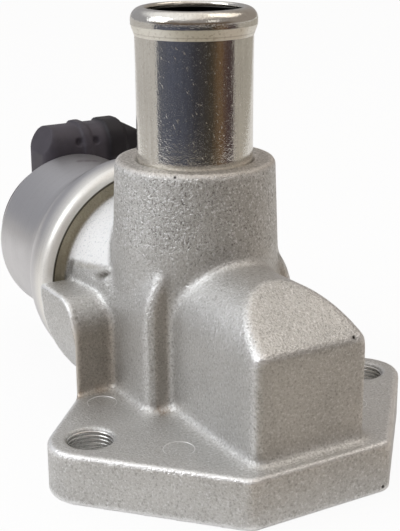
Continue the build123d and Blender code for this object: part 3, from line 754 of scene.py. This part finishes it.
class VALVE_OT_casting(bpy.types.Operator):
    """Soften the casting and add ejector marks and the bored rings of its bolt holes"""
    bl_idname = "valve.casting"
    bl_label = "Casting"

    def execute(self, context):
        settings = context.scene.valve_casting
        finish = cast_finish(settings)
        mesh = softened("valve_body", settings.voxel, settings.passes, settings.hollow_passes, PORES)
        self.shape(mesh)
        self.zones(mesh)
        piece("casting", mesh, finish, "cast_aluminium", "valve_body")
        marks = [ring_row(finish, Start=(x * MM, y * MM, (FLANGE_TOP_Z - 0.03) * MM), Turn=(0.026, -0.015, 0),
                          Ring_Radius=settings.ejector_radius, Wire_Radius=0.09 * MM) for x, y in EJECTORS]
        whole = joined("casting_marks", marks)
        # The ejector rings take the rubbed brightening, partly a painted highlight
        set_mask(whole, "edge", np.full(len(whole.vertices), 0.5))
        piece("casting_marks", whole, finish, "cast_aluminium")
        bored = turned_finish("bored_aluminium_finish", (0.8, 0.79, 0.77), 0.2, (60, 60, 3800))
        grooves = [ring_row(bored, Count=12, Start=(x * MM, 0, BORE_LOW_Z * MM), Step=(0, 0, BORE_PITCH * MM),
                            Ring_Radius=BORE_RING_R * MM, Wire_Radius=BORE_WIRE_R * MM, Segments=48)
                   for x in (-BOLT_X, BOLT_X)]
        piece("bolt_bores", joined("bolt_bores", grooves), bored, "machined_aluminium")
        return {"FINISHED"}

    def boss_line(self, y):
        """Height at which the machined boss ends."""
        return 27.95 + 0.115 * (28.13 - y)

    def shape(self, mesh):
        """Ease the pod's roof down, and raise the notched ledge that is left under the machined boss."""
        spot = points_of(mesh)
        x, y, z = spot.T / MM
        ahead = ramp(y, 2, -5)
        rise = ramp(z, 20, 33)
        spot[:, 2] -= 0.7 * MM * ahead**2 * (3 - 2 * ahead) * rise**2 * (z < 34)
        from_valve = np.hypot(x, z - VALVE_Z / MM)
        on_boss = np.abs(from_valve - np.interp(y, BOSS_Y, BOSS_SKIN)) < 0.7
        below = ramp(self.boss_line(y) - z, 0, 0.45) * ramp(z, 24.6, 26.1)
        ledge = below * ramp(y, 16.2, 17) * ramp(y, 27.6, 26.8) * on_boss
        push = 0.45 * MM * ledge * (1 - 1.6 * slanted_spot(y, z, *NOTCH)) / np.maximum(from_valve, 1)
        spot[:, 0] += push * x
        spot[:, 2] += push * (z - VALVE_Z / MM)
        set_points(mesh, spot)

    def zones(self, mesh):
        """Mark the boss's painted highlight, the painted shade of the seat ring, flank hollow, notch and darker faces,
        and unrub the bolt holes.
        """
        x, y, z = points_of(mesh).T / MM
        out = np.abs(x)
        from_valve = np.hypot(x, z - VALVE_Z / MM)
        from_tower = np.hypot(x, y - TUBE_Y / MM)
        on_boss = from_valve < BOSS_R
        # Boss above the boss line: mask of the painted highlight
        boss_highlight = ramp(z - self.boss_line(y), -0.2, 0.2) * ramp(y, BOSS_END_Y + 0.25, BOSS_END_Y - 0.25)
        boss_highlight *= (y > 15.6) * on_boss * ramp(from_tower, TOWER_FOOT_R, TOWER_FOOT_R + 0.6)
        # Seat ring in front of the can flange and the hollow on the boss's flank: painted shade
        seat = ramp(y, BOSS_END_Y - 0.25, BOSS_END_Y + 0.25) * (y < 31.5)
        seat *= ramp(from_valve, 15.9, 16.3) * (from_valve < 19)
        hollow = 0.3 * slanted_spot(y, z, *HOLLOW) * (from_valve < BOSS_R + 0.2) * (y < 28.6)
        # Notch: painted shade
        notch_shade = slanted_spot(y, z, *NOTCH) * (from_valve < BOSS_R + 0.2) * (y > 16)
        # Cradle front, tower top ring and block face: painted shade
        cradle_shade = np.clip(1.5 - np.abs(y - CRADLE_Y), 0, 1) * ramp(out, CRADLE_X, CRADLE_X + 1.5) * ramp(z, 22.5, 19)
        tower_top = z[from_tower < 13].max()
        ring = 0.65 * ramp(z, tower_top - 0.7, tower_top - 0.3) * ramp(from_tower, TOWER_TOP_R, TOWER_TOP_R - 0.5)
        (near, far), (inner, outer) = BLOCK_Y, BLOCK_X
        block_shade = 0.65 * ramp(y, far, far - 0.2) * ramp(y, near, near + 0.2) * ramp(out, inner, inner + 0.4)
        block_shade *= ramp(out, outer, outer - 0.4) * ramp(z, 30, 28) * ramp(z, 8.8, 9.2)
        set_mask(mesh, "boss_highlight", boss_highlight)
        set_mask(mesh, "shade", np.maximum(seat, hollow))
        set_mask(mesh, "painted_shade", np.maximum(np.maximum(cradle_shade, ring), block_shade))
        set_mask(mesh, "notch_shade", notch_shade)
        rub = mesh.attributes["edge"].data
        edge = np.empty(len(x), dtype=np.float32)
        rub.foreach_get("value", edge)
        edge[np.hypot(out - BOLT_X, y) < BOLT_RIM_R] *= 0.15
        rub.foreach_set("value", edge)


class VALVE_OT_hose_tube(bpy.types.Operator):
    """Turn the beaded hose tube"""
    bl_idname = "valve.hose_tube"
    bl_label = "Hose tube"

    def execute(self, context):
        settings = context.scene.valve_tube
        r, bead, top = settings.radius / MM, settings.bead / MM, settings.top / MM
        bore = r - settings.wall / MM
        outline = rounded([
            (r, TUBE_FOOT_Z, 0), (r, top - 9.2, 0), (r + 0.06, top - 4.35, 0.1), (bead, top - 2.65, 1.0),
            (bead, top, 1.88), (bore - 0.75, top, 0.5), (bore - 0.75, top - 1.0, 0.3), (bore, top - 1.7, 0.4),
            (bore, TUBE_FOOT_Z, 0),
        ], 12)
        mesh = lathe("hose_tube_turned", outline, on_tube, 192)
        piece("hose_tube_turned", mesh, zinc_finish(settings), "zinc_tube", "hose_tube")
        return {"FINISHED"}


class VALVE_OT_can(bpy.types.Operator):
    """Turn the drawn solenoid can with its crimped rim"""
    bl_idname = "valve.can"
    bl_label = "Solenoid can"

    def execute(self, context):
        settings = context.scene.valve_can
        r, rim, wall = settings.radius / MM, settings.rim / MM, settings.wall / MM
        (front, back), (flare_from, flare_to) = CAN_Y, FLARE_Y
        drop, flare = rim - r, flare_to - flare_from
        bend = (flare**2 + drop**2) / (4 * drop)
        turn = math.asin(flare / (2 * bend))

        def bell(inset):
            big = [(rim - bend + (bend - inset) * math.cos(a), flare_from + (bend - inset) * math.sin(a), 0)
                   for a in np.linspace(0, turn, 14)]
            small = [(r + bend - (bend + inset) * math.cos(a), flare_to - (bend + inset) * math.sin(a), 0)
                     for a in np.linspace(turn, 0, 14)]
            return big + small[1:]

        outline = rounded(
            [(rim - 1.95, front, 0.12), (rim, front, 1.8)] + bell(0)
            + [(r, back, 2.5), (CAN_HOLE_R, back, 0.2), (CAN_HOLE_R, back - 1.2, 0), (r - wall, back - 1.2, 1.3)]
            + bell(wall)[::-1] + [(rim - wall, front + 0.8, 0), (rim - 1.95, front + 0.8, 0.1)]
        )
        mesh = lathe("can_drawn", outline, on_valve, 192)
        piece("can_drawn", mesh, can_finish(settings), "plated_can", "solenoid_can")
        return {"FINISHED"}


class VALVE_OT_connector(bpy.types.Operator):
    """Soften the moulded connector and slant the far end of its shroud"""
    bl_idname = "valve.connector"
    bl_label = "Connector"

    def execute(self, context):
        settings = context.scene.valve_connector
        finish = moulding_finish("black_plastic_finish", tuple(settings.colour), (0.11, 0.11, 0.115), 0.42, 0.0092)
        mesh = softened("connector_housing", settings.voxel, 5, 4)
        spot = points_of(mesh)
        shroud = spot[spot[:, 2] > 37 * MM]
        end = shroud[:, 0].min()
        top = shroud[shroud[:, 0] < end + 3 * MM, 2].max()
        height, reach = 5 * MM, 2.4 * MM
        slant = end + reach * (spot[:, 2] - top + height) / height
        spot[:, 0] = np.where(spot[:, 2] > top - height, np.maximum(spot[:, 0], slant), spot[:, 0])
        set_points(mesh, spot)
        piece("connector_moulded", mesh, finish, "black_plastic", "connector_housing")
        return {"FINISHED"}


class VALVE_OT_coil(bpy.types.Operator):
    """Wind the coil's outer layer over its solid"""
    bl_idname = "valve.coil"
    bl_label = "Coil winding"

    def execute(self, context):
        settings = context.scene.valve_coil
        finish = turned_finish("copper_finish", tuple(settings.colour), 0.32, (300, 300, 300))
        low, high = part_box("coil_winding")
        wire_r = settings.wire
        turns = int((high.y - low.y) / (2 * wire_r))
        outer, inner = (high.x - low.x) / 2 / MM, 8.6
        core = lathe("coil_core", [(inner, low.y / MM), (outer - wire_r / MM, low.y / MM),
                                   (outer - wire_r / MM, high.y / MM), (inner, high.y / MM)],
                     on_valve, 96)
        rows = ring_row(finish, Count=turns, Start=(0, low.y + wire_r, VALVE_Z), Step=(0, 2 * wire_r, 0),
                        Turn=(math.pi / 2, 0, 0), Ring_Radius=outer * MM - wire_r, Wire_Radius=wire_r, Segments=96)
        piece("coil_wound", joined("coil_wound", (core, rows)), finish, "copper", "coil_winding")
        return {"FINISHED"}


class VALVE_OT_spring(bpy.types.Operator):
    """Dress the return spring: a smooth-shaded copy of its solid"""
    bl_idname = "valve.spring"
    bl_label = "Return spring"

    def execute(self, context):
        mesh = merged("return_spring")
        smooth(mesh)
        mesh.set_sharp_from_angle(angle=math.radians(40))
        finish = bpy.data.materials["spring_steel_finish"]
        spring = piece("return_spring_wound", mesh, finish, "spring_steel", "return_spring")
        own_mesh(spring)
        return {"FINISHED"}


class VALVE_OT_stage(bpy.types.Operator):
    """Set the camera, the pale floor and the soft light"""
    bl_idname = "valve.stage"
    bl_label = "Stage"
    # Along the floor from the tube: towards the camera, and to the camera's right
    to_camera, to_right = Vector((-0.506, -0.8626, 0)), Vector((0.8626, -0.506, 0))
    # In the room: towards its front wall, and towards its right wall
    room_ways = (-0.534, -0.845, 0.0), (0.845, -0.534, 0.0)
    # Where the camera stands, and its right, view and up directions
    stand = (-0.10005, -0.1585, 0.09144)
    directions = (0.8598, -0.5107, -0.0051), (0.4853, 0.82, -0.3037), (0.1593, 0.2587, 0.9528)
    # What the lamps point at
    aim = Vector((0, 0.02, 0.03))
    # Dark table top in front: place across it from left to right, and colour
    streaks = (
        (0.0, (0.12, 0.125, 0.15)), (0.2, (0.1, 0.11, 0.15)), (0.38, (0.07, 0.075, 0.1)),
        (0.5, (0.045, 0.045, 0.055)), (0.68, (0.05, 0.042, 0.032)), (0.8, (0.16, 0.1, 0.055)),
        (0.88, (0.07, 0.045, 0.045)), (1.0, (0.06, 0.04, 0.04)),
    )
    # Its corners, towards the camera and to the right of the tube
    front_corners = (
        (0.05, -0.19), (0.13, -0.13), (0.175, 0.0), (0.12, 0.13), (0.03, 0.2), (0.2, 1.4), (1.6, 1.4), (1.6, -1.4),
        (0.36, -1.36),
    )
    # Paper and table beside it: name, corners in the same way, and colour; the two paper cards are painted shadow of
    # the part on the paper
    cards = (
        ("paper_front_shade", ((0.06, -0.12), (0.125, -0.128), (0.172, 0.0), (0.115, 0.128), (0.05, 0.12)),
         (0.42, 0.38, 0.31)),
        ("paper_right_shade", ((0.045, 0.005), (0.03, 0.034), (0.0, 0.045), (-0.06, 0.06), (-0.06, 0.2), (0.022, 0.2),
                         (0.048, 0.12), (0.058, 0.0)), (0.58, 0.51, 0.44)),
        ("table_left", ((0.04, -0.17), (0.35, -1.36), (-1.4, -1.36), (-1.4, -0.17)), (0.6, 0.58, 0.56)),
        ("table_right", ((0.025, 0.2), (0.19, 1.4), (-1.4, 1.4), (-1.4, 0.2)), (0.45, 0.42, 0.37)),
    )

    def execute(self, context):
        scene = context.scene
        settings = scene.valve_stage
        right, ahead, up = (Vector(way).normalized() for way in self.directions)
        lens = bpy.data.cameras.new("view")
        lens.sensor_fit, lens.sensor_height, lens.lens = "VERTICAL", 36.0, settings.lens
        lens.shift_y = 0.002
        lens.clip_start, lens.clip_end = 0.005, 20.0
        camera = bpy.data.objects.new("view", lens)
        turn = Matrix((right, up, -ahead)).transposed().to_4x4()
        camera.matrix_world = Matrix.Translation(self.stand) @ turn
        scene.collection.objects.link(camera)
        scene.camera = camera
        self.floor(scene)
        self.table(scene)
        self.room(scene, settings)
        self.lamp(scene, "key", (-0.6, 0.15, 0.45), 0.45, settings.key, (0.95, 0.975, 1.0))
        self.lamp(scene, "fill", (0.33, -0.06, 0.6), 0.4, settings.fill, (1.0, 0.93, 0.85))
        self.lamp(scene, "window", (0.06, -0.5, 0.36), 0.16, settings.window, (1.0, 0.98, 0.94))
        scene.view_settings.view_transform = "Standard"
        return {"FINISHED"}

    def lamp(self, scene, name, place, size, power, colour):
        """One soft square lamp, turned to the part."""
        light = bpy.data.lights.new(name, "AREA")
        light.size, light.energy, light.color = size, power, colour
        obj = bpy.data.objects.new(name, light)
        obj.location = place
        obj.rotation_euler = (self.aim - Vector(place)).to_track_quat("-Z", "Y").to_euler()
        scene.collection.objects.link(obj)

    def sheet(self, scene, name, corners, material):
        """One flat sheet of the stage."""
        mesh = bpy.data.meshes.new(name)
        mesh.from_pydata(corners, [], [tuple(range(len(corners)))])
        mesh.materials.append(material)
        obj = bpy.data.objects.new(name, mesh)
        scene.collection.objects.link(obj)
        return obj

    def floor(self, scene):
        """White paper that keeps the part's shadow."""
        material, tree, shader, place = finish_of("floor_paper", Roughness=0.9)
        soft = noise(tree, place, 9.0, 2.0)
        wire(tree, shader, Base_Color=tint(tree, soft, (0.86, 0.86, 0.855), (0.9, 0.9, 0.895)))
        white = add(tree, "ShaderNodeEmission", {"Color": (1, 1, 1, 1), "Strength": 1.0})
        path = tree.nodes.new("ShaderNodeLightPath")
        seen = maths(tree, "MAXIMUM", path.outputs["Is Camera Ray"], path.outputs["Is Transmission Ray"])
        share = maths(tree, "ADD", times(tree, seen, 0.93), times(tree, path.outputs["Is Glossy Ray"], 0.2))
        mix = add(tree, "ShaderNodeMixShader", {0: share, 1: shader.outputs[0], 2: white.outputs[0]})
        tree.links.new(mix.outputs[0], tree.nodes["Material Output"].inputs[0])
        reach, drop = 9, -5e-5
        corners = [(x * reach, y * reach, drop) for x, y in ((-1, -1), (1, -1), (1, 1), (-1, 1))]
        self.sheet(scene, "floor", corners, material)

    def table(self, scene):
        """Table top around the sheet of paper, seen only in reflections: dark in front, grey at both sides."""
        material, tree, _, place = finish_of("table_top")
        from_tube = vectors(tree, "SUBTRACT", place, (0, TUBE_Y, 0))
        near, aside = (vectors(tree, "DOT_PRODUCT", from_tube, way) for way in (self.to_camera, self.to_right))
        bearing = maths(tree, "ARCTAN2", aside, near)
        across = add(tree, "ShaderNodeMapRange", {
            "Value": bearing, "From Min": math.radians(-80), "From Max": math.radians(85)})
        streak = add(tree, "ShaderNodeValToRGB", {0: across.outputs[0]})
        stops = streak.color_ramp.elements
        while len(stops) < len(self.streaks):
            stops.new(0.5)
        for stop, (where, colour) in zip(stops, self.streaks):
            stop.position, stop.color = where, (*colour, 1.0)
        self.glow(tree, streak.outputs[0])
        self.card(scene, "table_front", self.front_corners, material)
        for name, corners, colour in self.cards:
            plain, tree, _, place = finish_of(name)
            self.glow(tree, tint(tree, noise(tree, place, 14.0), colour, tuple(c * 0.9 for c in colour)))
            self.card(scene, name, corners, plain)

    def glow(self, tree, colour):
        """Make the material plain emission of a colour."""
        shine = add(tree, "ShaderNodeEmission", {"Color": colour, "Strength": 1.0})
        tree.links.new(shine.outputs[0], tree.nodes["Material Output"].inputs[0])

    def card(self, scene, name, corners, material):
        """Flat card on the floor, seen only in reflections."""
        base = Vector((0, TUBE_Y, 0.0002))
        obj = self.sheet(scene, name, [base + self.to_camera * a + self.to_right * s for a, s in corners], material)
        obj.visible_camera = obj.visible_shadow = obj.visible_diffuse = False

    def room(self, scene, settings):
        """Soft room: bright overhead, grey walls, dark and warm behind the camera."""
        world = bpy.data.worlds.new("room")
        world.use_nodes = True
        tree = world.node_tree
        tree.nodes.clear()
        way = tree.nodes.new("ShaderNodeTexCoord").outputs["Generated"]
        up = add(tree, "ShaderNodeSeparateXYZ", {0: way}).outputs[2]
        facing, aside = (vectors(tree, "DOT_PRODUCT", way, flat) for flat in self.room_ways)
        side = spread(tree, aside, -0.5, 0.5)
        walls = tint(tree, side, settings.left_wall, settings.right_wall)
        behind = spread(tree, facing, 0.05, 0.5)
        front = tint(tree, spread(tree, up, 0.1, 0.45), settings.front_wall, (0.3, 0.28, 0.27))
        walls = tint(tree, behind, walls, front)
        roof = tint(tree, side, (1.1, 1.1, 1.11), (0.9, 0.82, 0.73))
        lifted = maths(tree, "SUBTRACT", up, times(tree, side, 0.22))
        colour = tint(tree, spread(tree, lifted, 0.42, 0.8), walls, roof)
        light = add(tree, "ShaderNodeBackground", {"Color": colour, "Strength": 1.0})
        out = tree.nodes.new("ShaderNodeOutputWorld")
        tree.links.new(light.outputs[0], out.inputs[0])
        scene.world = world


class VALVE_PT_panel(bpy.types.Panel):
    """Sidebar list of the valve's builders"""
    bl_idname = "VALVE_PT_panel"
    bl_label = "Valve"
    bl_space_type = "VIEW_3D"
    bl_region_type = "UI"
    bl_category = "Valve"

    def draw(self, context):
        for operator in OPERATORS:
            self.layout.operator(operator.bl_idname)


SETTINGS = {
    "valve_casting": CastingSettings, "valve_tube": TubeSettings, "valve_can": CanSettings,
    "valve_connector": ConnectorSettings, "valve_coil": CoilSettings, "valve_stage": StageSettings,
}
OPERATORS = (VALVE_OT_inner_pieces, VALVE_OT_casting, VALVE_OT_hose_tube, VALVE_OT_can, VALVE_OT_connector,
             VALVE_OT_coil, VALVE_OT_spring, VALVE_OT_stage)
CLASSES = (*SETTINGS.values(), *OPERATORS, VALVE_PT_panel)


def register():
    for cls in CLASSES:
        bpy.utils.register_class(cls)
    for name, cls in SETTINGS.items():
        setattr(bpy.types.Scene, name, PointerProperty(type=cls))


def unregister():
    for name in SETTINGS:
        delattr(bpy.types.Scene, name)
    for cls in reversed(CLASSES):
        bpy.utils.unregister_class(cls)


def main():
    register()
    for build in (grain_group, mottle_group, lines_group, edge_group):
        build()
    bpy.ops.valve.inner_pieces()
    bpy.ops.valve.casting()
    bpy.ops.valve.hose_tube()
    bpy.ops.valve.can()
    bpy.ops.valve.connector()
    bpy.ops.valve.coil()
    bpy.ops.valve.spring()
    bpy.ops.valve.stage()


if __name__ == "__main__":
    main()
